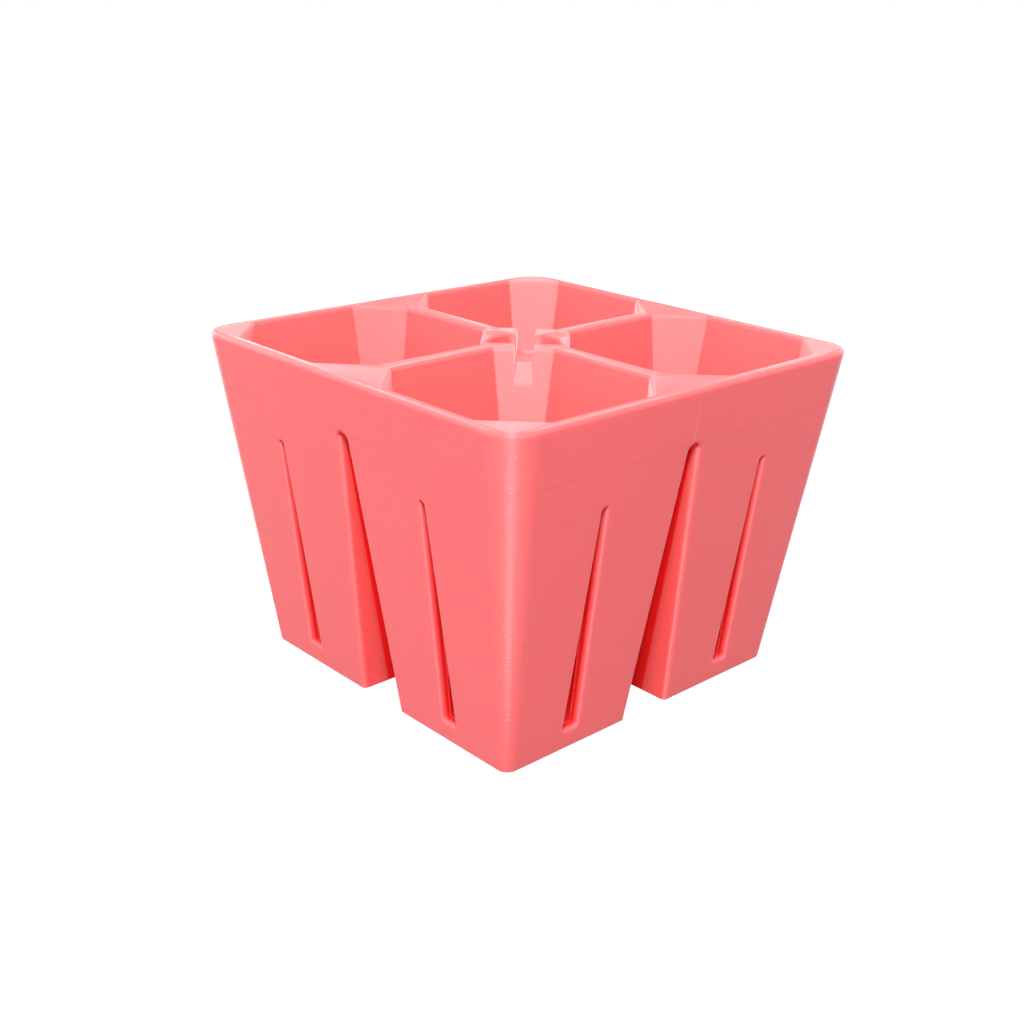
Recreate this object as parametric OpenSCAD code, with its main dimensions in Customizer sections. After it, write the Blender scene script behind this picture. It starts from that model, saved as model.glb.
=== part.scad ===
// Seed starting tray: four deep tapering cells under one square rim, made in one piece.
// It stands on the feet of its four legs. z = 0 is the surface they stand on, and the
// Z axis runs up through the middle of the rim. The socket in the middle turns its
// flat side to the corner at +X, -Y.

/* [Outside] */
// Width over the outer faces of the square rim
rim_w = 126.4; // [120:1:140]
// Width over the outer faces of the feet
foot_w = 100.6; // [96:0.1:106]
// Height of the tray
height = 92.4; // [88:0.1:110]
// Corner radius of the outside at the rim
rim_corner = 9.5; // [7:0.5:12]
// Corner radius of the outside at the feet
foot_corner = 3.2; // [2.5:0.1:6]
// Rounding of the rim's outer edge
rim_round = 1.2; // [0.6:0.1:1.6]
// Rounding of the outer edge that the feet stand on
foot_round = 0.6; // [0.3:0.1:1]

/* [Cells] */
// Wall between a cell and the outside, at the rim
rim_wall = 4.2; // [3.8:0.1:6]
// Thickness of the walls around each foot
foot_wall = 3; // [2.4:0.1:4]
// Thickness of each cell's floor
floor_t = 2.6; // [1.6:0.1:4]
// Width of the walls that part the cells, at the rim
divider_w = 5.4; // [4.8:0.1:7]
// Leg of the corner chamfers of a cell, at the rim
rim_chamfer = 11.5; // [10.5:0.1:13]
// Leg of the corner chamfers at a cell's floor
floor_chamfer = 2; // [1.5:0.1:4]
// Height up to which the chamfers keep the leg that they have at the floor
chamfer_foot = 24; // [15:1:40]
// Radius of the upright edges inside a cell
cell_edge = 0.9; // [0.4:0.1:1.2]
// Rounding of a cell's lip
lip_round = 1; // [0.4:0.1:1.2]
// Diameter of the drain hole in each floor
drain_d = 12; // [6:0.5:16]

/* [Gaps between the legs] */
// Width of a gap between two feet
gap_w = 15.8; // [12:0.1:18]
// Height of the divider that stays above a gap
gap_cover = 15.1; // [14.6:0.1:24]
// Radius of the round top of a gap
gap_tip = 1.6; // [1.2:0.1:2]
// Rounding of the edges where a gap opens in an outer face
gap_round = 1.6; // [0.8:0.1:1.8]

/* [Slots] */
// Height of the lower end of a slot
slot_foot = 5.8; // [4.5:0.1:12]
// Height of the wall that stays above a slot
slot_cover = 24.6; // [18:0.1:45]
// Width of a slot at its lower end
slot_w = 5; // [3.6:0.1:7]
// Radius of the round top of a slot
slot_tip = 0.7; // [0.5:0.1:1.2]
// Radius of the lower corners of a slot
slot_corner = 0.6; // [0.3:0.1:1]
// Rounding of the outer edges of a slot
slot_round = 1; // [0.3:0.1:1.2]

/* [Socket in the middle] */
// Radius of the socket's round side
socket_r = 10.6; // [9:0.1:10.6]
// Distance of the socket's flat side from the middle of the tray
socket_flat = 5.8; // [4.5:0.1:6.2]
// Length of the straight stretch in the socket's round side
socket_straight = 8.4; // [7:0.1:10]
// Depth of the socket
socket_depth = 11.6; // [10.4:0.1:12]
// Radius of the two upright corners of the socket
socket_corner = 0.8; // [0.4:0.1:1.4]
// Rounding of the socket's lip
socket_round = 0.7; // [0.2:0.1:0.8]
// Width of the notches that join the socket to two of the cells
notch_w = 5.1; // [4:0.1:6.5]
// Rounding of the upper edges of a notch
notch_round = 0.8; // [0.3:0.1:1]
// Depth of the ramped notch at the socket
ramp_top = 5; // [4:0.1:6]
// Rounding of the ramp's upper end
crest_round = 0.6; // [0.3:0.1:1]
// Depth at which the ramp has run out into the wall of the cell
ramp_foot = 10.6; // [9:0.1:12]
// Rounding of the ramp's lower end
ramp_round = 3; // [1:0.1:3.5]
// Depth of the level notch
level_depth = 6.3; // [4:0.1:8]
// Rounding of the level notch's outer end
level_round = 1; // [0.5:0.1:1.4]

/* [Hidden] */
// Distance by which a cut reaches past the surface that it opens
past = 2;
// Steps along a quarter turn of the small roundings
round_steps = 4;
// Steps along a quarter turn of the outside's corners
corner_steps = 8;
// Steps along each upright edge inside a cell, which turns by an eighth
edge_steps = 2;
// Steps along each half of the socket's round side
socket_steps = 12;
cells = 4;
drain_facets = 64;
rim_half = rim_w / 2;
foot_half = foot_w / 2;
drain_x = (foot_half + gap_w / 2) / 2;
gap_tip_z = height - gap_cover - gap_tip;
gap_lean = tangent_angle([0, gap_tip_z], gap_tip, [gap_w / 2, 0]);
slot_tip_z = height - slot_cover - slot_tip;
slot_lean = tangent_angle([0, slot_tip_z], slot_tip, [slot_w / 2, slot_foot]);
slot_depth = rim_wall + past;
slot_x = (outer_half(slot_foot) + side_x(gap_lean, gap_tip, gap_tip_z - slot_foot)) / 2;

// Value between a at the feet and b at the rim, at height z
function between(a, b, z) = a + (b - a) * z / height;

// Half width of the outside, and its corner radius, at height z
function outer_half(z) = between(foot_half, rim_half, z);
function outer_corner(z) = between(foot_corner, rim_corner, z);

// Distances from the middle of the tray to the inner and the outer wall of a cell
function cell_near(z) = between(gap_w / 2 + foot_wall, divider_w / 2, z);
function cell_far(z) = between(foot_half - foot_wall, rim_half - rim_wall, z);

// Leg of a cell's corner chamfers at height z
function chamfer(z) =
    let (share = max(0, (z - chamfer_foot) / (height - chamfer_foot)))
    floor_chamfer + (rim_chamfer - floor_chamfer) * share;

// Distance from the middle of the tray to the chamfer that a cell turns to it
function chamfer_wall(z) = (2 * cell_near(z) + chamfer(z)) / sqrt(2);

// Direction in which the line from a point touches a circle, seen from its centre
function tangent_angle(center, r, point) =
    let (d = point - center)
    atan2(d.y, d.x) + acos(r / norm(d));

// Place of a line that leans outwards from a circle, at a depth below its centre
function side_x(lean, r, depth) = (r + depth * sin(lean)) / cos(lean);

// Points along an arc
function arc(center, r, from, to, steps) =
    [for (i = [0 : steps])
        let (a = from + (to - from) * i / steps)
        center + r * [cos(a), sin(a)]];

// Sections of a rounding of radius r: how far each lies below the surface that the
// edge belongs to, and how much wider the cut is there
function rounding(r) =
    [for (i = [0 : round_steps])
        let (a = 90 * i / round_steps)
        [r * (1 - sin(a)), r * (1 - cos(a))]];

// Outline lifted to height z
function lifted(outline, z) = [for (p = outline) [p.x, p.y, z]];

// Outline on the slope of an outer face, at a depth below that face
function on_face(outline, depth) = [for (p = outline) [p.x, p.y, outer_half(p.y) - depth]];

// List in reverse order
function reversed(list) = [for (i = [len(list) - 1 : -1 : 0]) list[i]];

// Solid through a row of outlines with equal counts of points, which run
// counterclockwise as seen from the last of them
module loft(rings) {
    n = len(rings[0]);
    last = len(rings) - 1;
    sides = [for (k = [0 : last - 1], i = [0 : n - 1])
        let (j = (i + 1) % n)
        [k * n + i, (k + 1) * n + i, (k + 1) * n + j, k * n + j]];
    first_cap = [for (i = [0 : n - 1]) i];
    last_cap = [for (i = [n - 1 : -1 : 0]) last * n + i];
    polyhedron([for (ring = rings) each ring], concat([first_cap], sides, [last_cap]));
}

// Outline of the outside at height z, drawn in by inset
function outer_outline(z, inset) =
    let (
        r = outer_corner(z),
        c = outer_half(z) - r
    )
    [for (k = [0 : 3])
        each arc([c * sign(cos(45 + 90 * k)), c * sign(sin(45 + 90 * k))], r - inset,
                 90 * k, 90 * (k + 1), corner_steps)];

// Block of the tray's outer shape, with rounded edges at the feet and the rim
module outer_block() {
    foot_rings = [for (s = reversed(rounding(foot_round)))
        lifted(outer_outline(s.x, s.y), s.x)];
    rim_rings = [for (s = rounding(rim_round))
        lifted(outer_outline(height - s.x, s.y), height - s.x)];
    loft(concat(foot_rings, rim_rings));
}

// Outline of a cell at height z, widened by growth: a square with chamfered corners
// and eight rounded upright edges
function cell_outline(z, growth) =
    let (
        near = cell_near(z) + cell_edge,
        far = cell_far(z) - cell_edge,
        leg = chamfer(z) - cell_edge * (2 - sqrt(2)),
        edges = [
            [far, far - leg], [far - leg, far], [near + leg, far], [near, far - leg],
            [near, near + leg], [near + leg, near], [far - leg, near], [far, near + leg]
        ]
    )
    [for (k = [0 : 7]) each arc(edges[k], cell_edge + growth, 45 * k, 45 * (k + 1), edge_steps)];

// Space inside one cell, widening at its lip
module cell_space() {
    lip_rings = [for (s = rounding(lip_round)) lifted(cell_outline(height - s.x, s.y), height - s.x)];
    loft(concat(
        [for (z = [floor_t, chamfer_foot]) lifted(cell_outline(z, 0), z)],
        lip_rings,
        [lifted(cell_outline(height, lip_round), height + past)]
    ));
}

// Upright outline with a round tip and sides that lean outwards below it, widened by growth
function tapered_outline(lean, tip_r, tip_z, foot_z, corner_r, growth) =
    let (
        corner_z = foot_z + corner_r,
        corner_x = side_x(lean, tip_r - corner_r, tip_z - corner_z)
    )
    concat(
        arc([0, tip_z], tip_r + growth, lean, 180 - lean, 2 * round_steps),
        arc([-corner_x, corner_z], corner_r + growth, 180 - lean, 270, round_steps),
        arc([corner_x, corner_z], corner_r + growth, 270, 360 + lean, round_steps)
    );

function gap_outline(growth) = tapered_outline(gap_lean, gap_tip, gap_tip_z, -past - gap_tip, gap_tip, growth);

// Gap that runs through the tray between the legs, from one outer face to the other
module gap() {
    mouth = concat([[gap_outline(gap_round), -past]],
                   [for (s = reversed(rounding(gap_round))) [gap_outline(s.y), s.x]]);
    front = [for (m = mouth) on_face(m[0], m[1])];
    back = [for (ring = front) [for (p = ring) [p.x, p.y, -p.z]]];
    rotate([90, 0, 0]) loft(concat(back, reversed(front)));
}

function slot_outline(growth) = tapered_outline(slot_lean, slot_tip, slot_tip_z, slot_foot, slot_corner, growth);

// Slot through the outer wall that stands at -Y
module slot() {
    mouth = [for (s = rounding(slot_round)) on_face(slot_outline(s.y), s.x)];
    rotate([90, 0, 0]) loft(concat(
        [on_face(slot_outline(0), slot_depth)],
        mouth,
        [on_face(slot_outline(slot_round), -past)]
    ));
}

// Outline of the socket, widened by growth: its flat side lies at -Y, and its round side
// has a straight stretch at +Y, where the level notch leaves it
function socket_outline(growth) =
    let (
        corner_x = sqrt(pow(socket_r - socket_corner, 2) - pow(socket_corner, 2)),
        corner_y = socket_corner - socket_flat,
        turn = asin(socket_corner / (socket_r - socket_corner)),
        straight = asin(socket_straight / 2 / socket_r)
    )
    concat(
        arc([0, -socket_flat], socket_r + growth, turn, 90 - straight, socket_steps),
        arc([0, -socket_flat], socket_r + growth, 90 + straight, 180 - turn, socket_steps),
        arc([-corner_x, corner_y], socket_corner + growth, 180 - turn, 270, round_steps),
        arc([corner_x, corner_y], socket_corner + growth, 270, 360 + turn, round_steps)
    );

// Space of the socket, widening at its lip
module socket_space() {
    loft(concat(
        [lifted(socket_outline(0), height - socket_depth)],
        [for (s = rounding(socket_round)) lifted(socket_outline(s.y), height - s.x)],
        [lifted(socket_outline(socket_round), height + past)]
    ));
}

// Section of a notch whose floor lies at floor_z, open at the top
function notch_outline(floor_z) =
    let (
        half = notch_w / 2,
        flare = [for (s = rounding(notch_round)) [half + s.y, height - s.x]],
        wide = half + notch_round
    )
    concat(
        [[-half, floor_z], [half, floor_z]],
        flare,
        [[wide, height + past], [-wide, height + past]],
        [for (p = reversed(flare)) [-p.x, p.y]]
    );

// Cut along -Y through a row of floor points, each its distance along -Y and its height
module notch(floor_points) {
    rotate([90, 0, 0]) loft([for (f = floor_points) [for (p = notch_outline(f.y)) [p.x, p.y, f.x]]]);
}

// Notch whose floor runs down from the socket's flat side and out into the cell at -Y
module ramped_notch() {
    crest = [socket_flat + crest_round, height - ramp_top - crest_round];
    foot_z = height - ramp_foot;
    foot = [chamfer_wall(foot_z) - ramp_round, foot_z];
    tilt = tangent_angle(crest, crest_round - ramp_round, foot);
    notch(concat(
        [[socket_flat - past, crest.y]],
        arc(crest, crest_round, 180, tilt, 2 * round_steps),
        arc(foot, ramp_round, tilt, 0, 2 * round_steps),
        [foot + [ramp_round + past, 0]]
    ));
}

// Notch with a level floor, from the straight stretch of the socket to the cell at +Y
module level_notch() {
    floor_z = height - level_depth;
    round_z = floor_z - level_round;
    far = chamfer_wall(round_z) - level_round;
    rotate([0, 0, 180]) notch(concat(
        [[0, floor_z]],
        arc([far, round_z], level_round, 90, 0, round_steps),
        [[far + level_round + past, round_z]]
    ));
}

module drain() {
    translate([drain_x, drain_x, -past]) cylinder(h = floor_t + 2 * past, d = drain_d, $fn = drain_facets);
}

module tray() {
    color("salmon") difference() {
        outer_block();
        gap();
        rotate([0, 0, 90]) gap();
        for (k = [0 : cells - 1]) {
            rotate([0, 0, 90 * k]) {
                cell_space();
                drain();
                for (side = [-1, 1]) {
                    translate([side * slot_x, 0, 0]) slot();
                }
            }
        }
        rotate([0, 0, 45]) {
            socket_space();
            ramped_notch();
            level_notch();
        }
    }
}

tray();
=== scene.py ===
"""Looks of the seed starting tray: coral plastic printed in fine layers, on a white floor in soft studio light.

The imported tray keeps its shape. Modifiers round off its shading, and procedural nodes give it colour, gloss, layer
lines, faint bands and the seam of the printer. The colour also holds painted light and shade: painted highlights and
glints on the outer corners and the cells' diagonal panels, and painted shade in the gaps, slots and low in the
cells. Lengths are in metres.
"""

import math

import bpy
from mathutils import Matrix, Vector

MM = 0.001

CAMERA_AZIMUTH = 47.181
CAMERA_ELEVATION = 21.039
CAMERA_ROLL = 1.186
CAMERA_DISTANCE = 384.4 * MM
CAMERA_TARGET_HEIGHT = 42.05 * MM
CAMERA_TARGET_SIDE = -2.63 * MM
FOCAL_FRAMES = 1.328
SENSOR = 36.0

# The tray's walls, for telling outside, cells, gaps and slots apart: half width at the feet and growth per metre up
HEIGHT = 92.4 * MM
OUTSIDE = (50.3 * MM, 12.9 / 92.4)
CELL_FAR = (47.3 * MM, 11.7 / 92.4)
CELL_NEAR = (10.9 * MM, -8.2 / 92.4)
CORNER = (3.2 * MM, 6.3 / 92.4)
SLOTS_WITHIN = 36 * MM
GAP_TOP = 78.5 * MM
# Where the painted shadow band in the gaps begins: depth at the feet and change per metre up
GAP_SHADE = (8.5 * MM, -6.4 / 77)

# Plastic: base colours of each kind of place, and the tint of the shine in deep ones. Apart from the seam's colour,
# the differences between them are painted light and shade: paler on the top, in the cells, on the diagonal panels
# and the outer corners, with painted glints, and darker and redder painted shade in gaps, slots and low in the cells
OUTER_RED = (0.85, 0.140, 0.148, 1.0)
CORNER_HIGHLIGHT_RED = (0.96, 0.164, 0.168, 1.0)
CELL_RED = (0.96, 0.150, 0.149, 1.0)
PANEL_HIGHLIGHT_RED = (0.96, 0.176, 0.178, 1.0)
TOP_RED = (0.96, 0.146, 0.150, 1.0)
SHADED_GAP_RED = (0.90, 0.100, 0.100, 1.0)
SLOT_SHADE_RED = (0.64, 0.010, 0.010, 1.0)
PAINTED_SHADOW_RED = (1.0, 0.014, 0.014, 1.0)
LOW_CELL_SHADE_RED = (1.0, 0.060, 0.060, 1.0)
EDGE_RED = (0.98, 0.230, 0.235, 1.0)
GLINT_RED = (1.0, 0.52, 0.53, 1.0)
PLAIN_SHINE = (1.0, 1.0, 1.0, 1.0)
SHADED_SHINE = (0.25, 0.02, 0.02, 1.0)

# Noise: cycles per metre along X, Y and Z, or in every direction
LAYER_GRAIN = (12.0, 12.0, 4200.0)
FLECK_GRAIN = (420.0, 420.0, 3600.0)
PATCH_GRAIN = (30.0, 30.0, 6.0)
WAVER_GRAIN = 60.0
DRIFT_GRAIN = 22.0

# Printed layers, faint bands round the tray and the seam on the right face
LAYER_PITCH = 0.2 * MM
BAND_HEIGHTS = (77.9 * MM, 67.7 * MM, 37.4 * MM)
BAND_SHADE = -0.05
SEAM_SIDE = -1.0 * MM
SEAM_BOTTOM = 77.6 * MM
SEAM_TOP = 90.0 * MM

# Light: azimuth and elevation in degrees, width and height in metres, and watts
LAMPS = (
    ("key", 44, 50, 0.35, 0.25, 24.0),
    ("front", 42, 14, 0.3, 0.3, 1.5),
    ("left", -25, 20, 0.9, 0.9, 2.4),
    ("backdrop", 227, 22, 1.0, 0.8, 1.5),
    ("rim_left", -93, 22, 0.9, 0.5, 9.0),
    ("rim_right", 187, 22, 0.9, 0.5, 5.0),
)
LAMP_DISTANCE = 1.2
LAMP_AIM_HEIGHT = 50 * MM
WORLD_STRENGTH = 0.12

# Floor: how far it reaches and lies below the feet, its grey and its glow, and the shade kept near the tray
FLOOR_HALF = 6.0
FLOOR_HEIGHT = -0.05 * MM
PAPER_GREY = (0.3, 0.3, 0.3, 1.0)
FLOOR_GLOW = 1.25
SHADE_NEAR = 55 * MM
SHADE_FAR = 120 * MM
SHADE_SHARE = 0.22
WHITE = (1.0, 1.0, 1.0, 1.0)

# Mesh: corners closer than this are one, and turns up to this many degrees are shaded as curves
TOUCHING = 0.002 * MM
SOFT_TURN = 32


def link(obj):
    bpy.context.scene.collection.objects.link(obj)
    return obj


def make_camera():
    azimuth = math.radians(CAMERA_AZIMUTH)
    elevation = math.radians(CAMERA_ELEVATION)
    back = Vector((
        math.sin(azimuth) * math.cos(elevation),
        -math.cos(azimuth) * math.cos(elevation),
        math.sin(elevation),
    ))
    level = Vector((math.cos(azimuth), math.sin(azimuth), 0))
    upright = back.cross(level)
    roll = math.radians(CAMERA_ROLL)
    right = math.cos(roll) * level + math.sin(roll) * upright
    up = math.cos(roll) * upright - math.sin(roll) * level
    target = Vector((0, 0, CAMERA_TARGET_HEIGHT)) + CAMERA_TARGET_SIDE * level
    data = bpy.data.cameras.new("camera")
    data.sensor_width = SENSOR
    data.lens = FOCAL_FRAMES * SENSOR
    data.clip_start = 0.01
    data.clip_end = 20
    camera = link(bpy.data.objects.new("camera", data))
    turn = Matrix((right, up, back)).transposed().to_4x4()
    camera.matrix_world = Matrix.Translation(target + back * CAMERA_DISTANCE) @ turn
    bpy.context.scene.camera = camera


class Nodes:
    """Short forms for building a node tree."""

    def __init__(self, tree):
        self.tree = tree
        tree.nodes.clear()

    def add(self, kind, inputs=None, **settings):
        node = self.tree.nodes.new(kind)
        for name, value in settings.items():
            setattr(node, name, value)
        for key, value in (inputs or {}).items():
            socket = node.inputs[key]
            if isinstance(value, bpy.types.NodeSocket):
                self.tree.links.new(value, socket)
            else:
                socket.default_value = value
        return node

    def math(self, operation, a, b=0.0, c=0.0):
        return self.add("ShaderNodeMath", {0: a, 1: b, 2: c}, operation=operation).outputs[0]

    def both(self, a, b):
        return self.math("MULTIPLY", a, b)

    def either(self, a, b):
        return self.math("MAXIMUM", a, b)

    def without(self, a):
        return self.math("SUBTRACT", 1.0, a)

    def step(self, value, none, full):
        """0 at none and before it, 1 at full and past it, smooth between. Full may be the smaller one."""
        inputs = {0: value, 1: none, 2: full, 3: 0.0, 4: 1.0}
        return self.add("ShaderNodeMapRange", inputs, interpolation_type="SMOOTHSTEP").outputs[0]

    def noise(self, vector, scale, detail=2.0, roughness=0.5):
        inputs = {"Vector": vector, "Scale": scale, "Detail": detail, "Roughness": roughness}
        return self.add("ShaderNodeTexNoise", inputs).outputs["Fac"]

    def vector(self, operation, a, b=(0.0, 0.0, 0.0)):
        node = self.add("ShaderNodeVectorMath", {0: a, 1: b}, operation=operation)
        return node.outputs["Value" if operation == "LENGTH" else "Vector"]

    def scaled(self, vector, factor):
        return self.add("ShaderNodeVectorMath", {0: vector, "Scale": factor}, operation="SCALE").outputs["Vector"]

    def mix(self, share, a, b):
        return self.add("ShaderNodeMix", {0: share, 6: a, 7: b}, data_type="RGBA").outputs[2]

    def seeing_rays(self):
        """1 for the rays that see white surroundings."""
        rays = self.add("ShaderNodeLightPath").outputs
        return self.either(rays["Is Camera Ray"], self.either(rays["Is Glossy Ray"], rays["Is Transmission Ray"]))


def plastic_material():
    material = bpy.data.materials.new("printed_plastic")
    material.use_nodes = True
    n = Nodes(material.node_tree)
    coordinates = n.add("ShaderNodeTexCoord")
    place = coordinates.outputs["Object"]
    normal = coordinates.outputs["Normal"]
    x, y, z = n.add("ShaderNodeSeparateXYZ", {0: place}).outputs
    across = n.math("ABSOLUTE", x)
    along = n.math("ABSOLUTE", y)
    farther = n.either(across, along)
    nearer = n.math("MINIMUM", across, along)

    def wall(line):
        return n.math("MULTIPLY_ADD", z, line[1], line[0])

    # Places: depth below the outer faces and their rounded corners, slots through the wall, gaps between the legs
    radius = wall(CORNER)
    bend = n.math("SUBTRACT", wall(OUTSIDE), radius)
    past_x = n.either(n.math("SUBTRACT", across, bend), 0.0)
    past_y = n.either(n.math("SUBTRACT", along, bend), 0.0)
    reach = n.vector("LENGTH", n.add("ShaderNodeCombineXYZ", {0: past_x, 1: past_y}).outputs[0])
    inward = n.math("MINIMUM", n.math("SUBTRACT", farther, bend), 0.0)
    depth = n.math("SUBTRACT", n.math("SUBTRACT", radius, reach), inward)
    outer = n.without(n.step(depth, 0.25 * MM, 1.2 * MM))
    off_corners = n.math("LESS_THAN", nearer, SLOTS_WITHIN)
    past_cell = n.both(n.step(n.math("SUBTRACT", farther, wall(CELL_FAR)), 0.15 * MM, 0.6 * MM), off_corners)
    in_gap = n.both(n.step(n.math("SUBTRACT", wall(CELL_NEAR), nearer), 0.2 * MM, 0.7 * MM),
                    n.math("LESS_THAN", z, GAP_TOP))
    inside_wall = n.either(past_cell, in_gap)
    deep = n.both(inside_wall, n.step(depth, 0.3 * MM, 2.4 * MM))
    deep = n.both(deep, n.without(n.step(z, HEIGHT - 6 * MM, HEIGHT - 4 * MM)))
    top = n.step(z, HEIGHT - 1.0 * MM, HEIGHT - 0.3 * MM)

    # Layers: each a little lighter or darker than the next, wavering slightly along its length
    wobble = n.noise(place, WAVER_GRAIN)
    uneven = n.noise(n.vector("MULTIPLY", place, LAYER_GRAIN), 1.0, 3.0, 0.75)
    flecks = n.noise(n.vector("MULTIPLY", place, FLECK_GRAIN), 1.0, 2.0, 0.7)
    level = n.math("MULTIPLY_ADD", wobble, 0.25 * LAYER_PITCH, z)
    phase = n.math("MULTIPLY", level, 2 * math.pi / LAYER_PITCH)
    ridges = n.math("MULTIPLY_ADD", n.math("SINE", phase), 0.25, n.both(uneven, 1.5))

    # Colour: painted highlights on faces turned to the diagonals, in the cells and on the outer corners, and painted
    # shade low in the cells
    nx, ny, rise = n.add("ShaderNodeSeparateXYZ", {0: normal}).outputs
    # Faces turned to the diagonals, where a highlight is painted
    slant = n.math("MINIMUM", n.math("ABSOLUTE", nx), n.math("ABSOLUTE", ny))
    slanted = n.step(slant, 0.10, 0.62)
    at_corner = n.both(slanted, n.math("GREATER_THAN", nearer, SLOTS_WITHIN))
    # Painted shade: the cell walls turn redder towards the bottom
    low = n.both(n.step(z, 56 * MM, 14 * MM), n.without(n.either(inside_wall, outer)))
    lining = n.mix(low, n.mix(slanted, CELL_RED, PANEL_HIGHLIGHT_RED), LOW_CELL_SHADE_RED)
    # Painted highlight on the outer corners, fading out towards the feet
    corner_highlight = n.both(at_corner, n.step(z, -20 * MM, 40 * MM))
    cell = n.mix(outer, lining, n.mix(corner_highlight, OUTER_RED, CORNER_HIGHLIGHT_RED))
    body = n.mix(top, cell, TOP_RED)

    # Painted glints: single light specks in the highlight on the outer corners
    outer_corner = n.both(at_corner, outer)
    painted_glints = n.both(n.step(slant, 0.50, 0.68), n.step(flecks, 0.645, 0.72))
    body = n.mix(n.both(painted_glints, outer_corner), body, GLINT_RED)

    # The seam where each layer begins
    seam = n.step(n.math("ABSOLUTE", n.math("SUBTRACT", y, SEAM_SIDE)), 0.30 * MM, 0.08 * MM)
    seam = n.both(seam, n.both(n.step(z, SEAM_BOTTOM, SEAM_BOTTOM + MM), n.step(z, SEAM_TOP, SEAM_TOP - MM)))
    seam = n.both(seam, n.both(outer, n.math("GREATER_THAN", x, 0.0)))
    body = n.mix(n.both(seam, 0.55), body, EDGE_RED)

    # Painted shade: slots, gaps and their downward-facing tops are darker and redder the deeper they are, and the
    # far part of each gap holds a painted shadow band
    gap_shadow_band = n.step(n.math("SUBTRACT", depth, wall(GAP_SHADE)), -0.3 * MM, 0.3 * MM)
    red = n.mix(deep, body, n.mix(in_gap, SLOT_SHADE_RED, n.mix(gap_shadow_band, SHADED_GAP_RED, PAINTED_SHADOW_RED)))
    facing_down = n.both(n.both(n.step(rise, -0.25, -0.70), off_corners), n.math("GREATER_THAN", z, 20 * MM))
    red = n.mix(facing_down, red, PAINTED_SHADOW_RED)

    # Painted shade on the shine: its tint is redder in deep places, on downward-facing tops, low in the cells and on
    # the outer corners towards the feet
    dimmed_corner_shine = n.both(outer_corner, n.step(z, 45 * MM, 5 * MM))
    shine_shade = n.either(deep, n.either(facing_down, n.both(n.either(low, dimmed_corner_shine), 0.7)))

    # Faint dark bands where the printer slowed, and a slow drift over the whole tray
    patchy = n.step(n.noise(n.vector("MULTIPLY", place, PATCH_GRAIN), 1.0), 0.30, 0.62)
    band = 0.0
    by_corner = n.both(n.step(nearer, 22 * MM, 40 * MM), 0.7)
    for height, spread in zip(BAND_HEIGHTS, (1.0, by_corner, by_corner)):
        line = n.step(n.math("ABSOLUTE", n.math("SUBTRACT", level, height)), 0.6 * MM, 0.1 * MM)
        band = n.either(n.both(line, spread), band)
    band = n.both(band, n.both(outer, patchy))
    tint = n.math("ADD", n.both(n.noise(place, DRIFT_GRAIN), 0.5), n.both(uneven, 0.5))
    shade = n.math("MULTIPLY_ADD", tint, 0.14, 0.93)
    shade = n.math("MULTIPLY_ADD", band, BAND_SHADE, shade)

    # Gloss runs up and down across the layers
    bump = n.add("ShaderNodeBump", {"Strength": 0.22, "Distance": 0.03 * MM,
                                    "Height": n.math("MULTIPLY_ADD", flecks, 0.8, ridges)})
    leaning = n.scaled(normal, n.both(rise, -1.0))
    outward = n.vector("MULTIPLY", place, (0.3, 0.3, 0.0))
    up_face = n.vector("ADD", n.vector("ADD", leaning, outward), (0.0, 0.0, 1.0))
    roughness = n.math("MULTIPLY_ADD", uneven, 0.10, 0.50)
    shader = n.add("ShaderNodeBsdfPrincipled", {
        "Base Color": n.scaled(red, shade),
        "Roughness": n.math("MULTIPLY_ADD", deep, 0.35, roughness),
        "Specular Tint": n.mix(shine_shade, PLAIN_SHINE, SHADED_SHINE),
        "Normal": bump.outputs[0],
        "Tangent": up_face,
    })
    shader.inputs["Subsurface Weight"].default_value = 0.35
    shader.inputs["Subsurface Radius"].default_value = (1.0, 0.06, 0.06)
    shader.inputs["Subsurface Scale"].default_value = 3.0 * MM
    shader.inputs["Sheen Weight"].default_value = 0.3
    shader.inputs["Sheen Roughness"].default_value = 0.25
    shader.inputs["IOR"].default_value = 1.5
    shader.inputs["Specular IOR Level"].default_value = 0.5
    shader.inputs["Anisotropic"].default_value = 1.0
    n.add("ShaderNodeOutputMaterial", {"Surface": shader.outputs[0]})
    return material


def smooth_shading_group():
    """Joins touching corners and shades small turns as curves."""
    group = bpy.data.node_groups.new("smooth_shading", "GeometryNodeTree")
    group.interface.new_socket("Geometry", in_out="INPUT", socket_type="NodeSocketGeometry")
    group.interface.new_socket("Geometry", in_out="OUTPUT", socket_type="NodeSocketGeometry")
    n = Nodes(group)
    source = n.add("NodeGroupInput").outputs[0]
    welded = n.add("GeometryNodeMergeByDistance", {0: source, "Distance": TOUCHING}).outputs[0]
    angle = n.add("GeometryNodeInputMeshEdgeAngle").outputs[0]
    sharp = n.add("FunctionNodeCompare", {0: angle, 1: math.radians(SOFT_TURN)}, operation="GREATER_THAN").outputs[0]
    edges = n.add("GeometryNodeSetShadeSmooth", {0: welded, "Selection": sharp, "Shade Smooth": False},
                  domain="EDGE").outputs[0]
    faces = n.add("GeometryNodeSetShadeSmooth", {0: edges, "Shade Smooth": True}, domain="FACE").outputs[0]
    n.add("NodeGroupOutput", {0: faces})
    return group


def dress(node):
    node.modifiers.new("smooth_shading", "NODES").node_group = smooth_shading_group()
    normals = node.modifiers.new("weighted_normals", "WEIGHTED_NORMAL")
    normals.keep_sharp = True
    normals.weight = 100
    node.data.materials.clear()
    node.data.materials.append(plastic_material())


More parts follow.
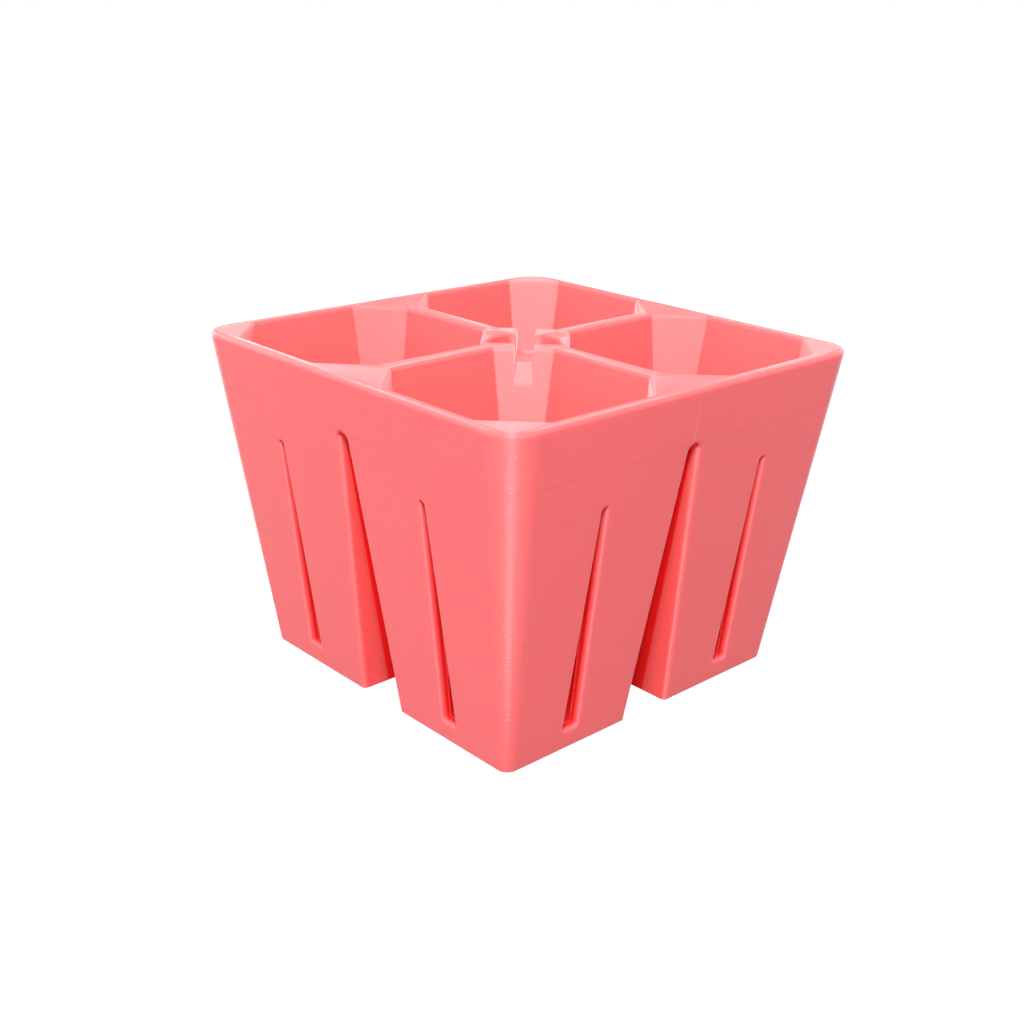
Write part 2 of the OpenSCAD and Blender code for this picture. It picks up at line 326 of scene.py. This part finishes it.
def make_floor():
    """Level floor that looks white, with a faint shade left round the tray. It lets the view from below through."""
    signs = ((-1, -1), (1, -1), (1, 1), (-1, 1))
    mesh = bpy.data.meshes.new("floor")
    mesh.from_pydata([(sx * FLOOR_HALF, sy * FLOOR_HALF, FLOOR_HEIGHT) for sx, sy in signs], [], [(0, 1, 2, 3)])
    floor = link(bpy.data.objects.new("floor", mesh))
    material = bpy.data.materials.new("floor")
    material.use_nodes = True
    n = Nodes(material.node_tree)
    place = n.add("ShaderNodeTexCoord").outputs["Object"]
    near = n.without(n.step(n.vector("LENGTH", place), SHADE_NEAR, SHADE_FAR))
    paper = n.add("ShaderNodeBsdfDiffuse", {"Color": PAPER_GREY}).outputs[0]
    glow = n.add("ShaderNodeEmission", {"Color": WHITE, "Strength": FLOOR_GLOW}).outputs[0]
    share = n.both(n.seeing_rays(), n.math("MULTIPLY_ADD", near, -SHADE_SHARE, 1.0))
    mixed = n.add("ShaderNodeMixShader", {0: share, 1: paper, 2: glow}).outputs[0]
    below = n.add("ShaderNodeNewGeometry").outputs["Backfacing"]
    clear = n.add("ShaderNodeBsdfTransparent").outputs[0]
    mixed = n.add("ShaderNodeMixShader", {0: below, 1: mixed, 2: clear}).outputs[0]
    n.add("ShaderNodeOutputMaterial", {"Surface": mixed})
    mesh.materials.append(material)


def make_world():
    world = bpy.data.worlds.new("studio")
    bpy.context.scene.world = world
    world.use_nodes = True
    n = Nodes(world.node_tree)
    soft = n.add("ShaderNodeBackground", {"Color": WHITE, "Strength": WORLD_STRENGTH}).outputs[0]
    white = n.add("ShaderNodeBackground", {"Color": WHITE, "Strength": 1.0}).outputs[0]
    mixed = n.add("ShaderNodeMixShader", {0: n.seeing_rays(), 1: soft, 2: white}).outputs[0]
    n.add("ShaderNodeOutputWorld", {0: mixed})


def make_lamp(name, azimuth, elevation, width, height, power):
    """Area lamp that looks at the middle of the tray from a direction."""
    a = math.radians(azimuth)
    e = math.radians(elevation)
    back = Vector((math.sin(a) * math.cos(e), -math.cos(a) * math.cos(e), math.sin(e)))
    data = bpy.data.lights.new(name, "AREA")
    data.shape = "RECTANGLE"
    data.size = width
    data.size_y = height
    data.energy = power
    lamp = link(bpy.data.objects.new(name, data))
    lamp.location = Vector((0, 0, LAMP_AIM_HEIGHT)) + back * LAMP_DISTANCE
    lamp.rotation_mode = "QUATERNION"
    lamp.rotation_quaternion = back.to_track_quat("Z", "Y")


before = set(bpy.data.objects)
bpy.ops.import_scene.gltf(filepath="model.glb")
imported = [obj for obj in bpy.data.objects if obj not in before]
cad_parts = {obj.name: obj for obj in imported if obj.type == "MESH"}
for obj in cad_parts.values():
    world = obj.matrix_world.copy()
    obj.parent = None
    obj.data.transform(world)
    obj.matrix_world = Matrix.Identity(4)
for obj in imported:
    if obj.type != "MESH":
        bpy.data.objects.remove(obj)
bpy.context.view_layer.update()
make_camera()
dress(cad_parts["tray"])
make_floor()
make_world()
for lamp in LAMPS:
    make_lamp(*lamp)
bpy.context.scene.view_settings.view_transform = "Standard"
